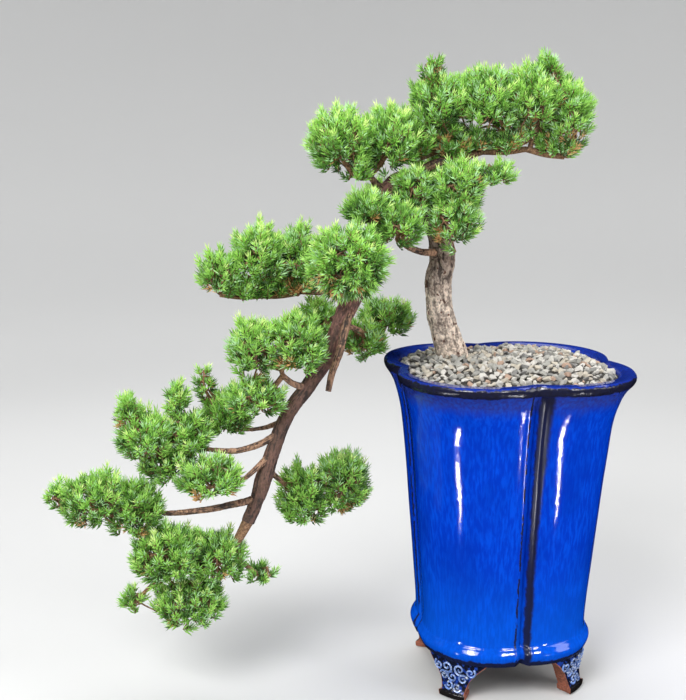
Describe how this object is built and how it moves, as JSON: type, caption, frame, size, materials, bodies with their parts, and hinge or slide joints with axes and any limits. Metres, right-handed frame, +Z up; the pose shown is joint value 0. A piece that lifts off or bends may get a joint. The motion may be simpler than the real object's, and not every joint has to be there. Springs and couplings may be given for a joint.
{
  "type": "potted cascade bonsai",
  "caption": "Cascading juniper bonsai: a bent trunk rises, turns over and falls beside a tall lobed pot with a glossy blue glaze and small scrolled feet, with open pads of needles.",
  "frame": {"origin": "middle of the whole plant's bounding box in X and Y, at the level of the feet's undersides", "axes": "+Z up, +X to the right as seen from the front, away from the cascade, +Y away from the viewer"},
  "size_m": [0.4562, 0.202, 0.5023],
  "materials": {
    "cobalt_glaze": "gloss",
    "scrolled_glaze": "satin",
    "grey_gravel": "matte",
    "grey_bark": "matte",
    "red_brown_bark": "matte",
    "tan_bark": "matte",
    "juniper_green": "matte"
  },
  "bodies": {
    "root": {"pot": "cobalt_glaze", "foot_1": "scrolled_glaze", "foot_2": "scrolled_glaze", "foot_3": "scrolled_glaze", "foot_4": "scrolled_glaze", "soil": "grey_gravel", "trunk_rise": "grey_bark", "trunk_fall": "red_brown_bark", "bough_crown_right": "tan_bark", "bough_crown_left": "tan_bark", "bough_crown_back": "tan_bark", "bough_low_left": "tan_bark", "bough_low_right": "tan_bark", "bough_high_left": "tan_bark", "bough_pompom": "tan_bark", "bough_behind": "tan_bark", "bough_inner_left": "tan_bark", "bough_mid_left": "tan_bark", "bough_low_sprigs": "tan_bark", "bough_outer_left": "tan_bark", "bough_under_left": "tan_bark", "bough_far_left": "tan_bark", "bough_right_low": "tan_bark", "dead_stub": "tan_bark", "foliage_crown_right": "juniper_green", "foliage_crown_left": "juniper_green", "foliage_crown_back": "juniper_green", "foliage_low_left": "juniper_green", "foliage_low_right": "juniper_green", "foliage_high_left": "juniper_green", "foliage_pompom": "juniper_green", "foliage_behind": "juniper_green", "foliage_inner_left": "juniper_green", "foliage_mid_left": "juniper_green", "foliage_low_sprigs": "juniper_green", "foliage_outer_left": "juniper_green", "foliage_under_left": "juniper_green", "foliage_far_left": "juniper_green", "foliage_right_low": "juniper_green", "foliage_tip": "juniper_green"}
  },
  "joints": []
}
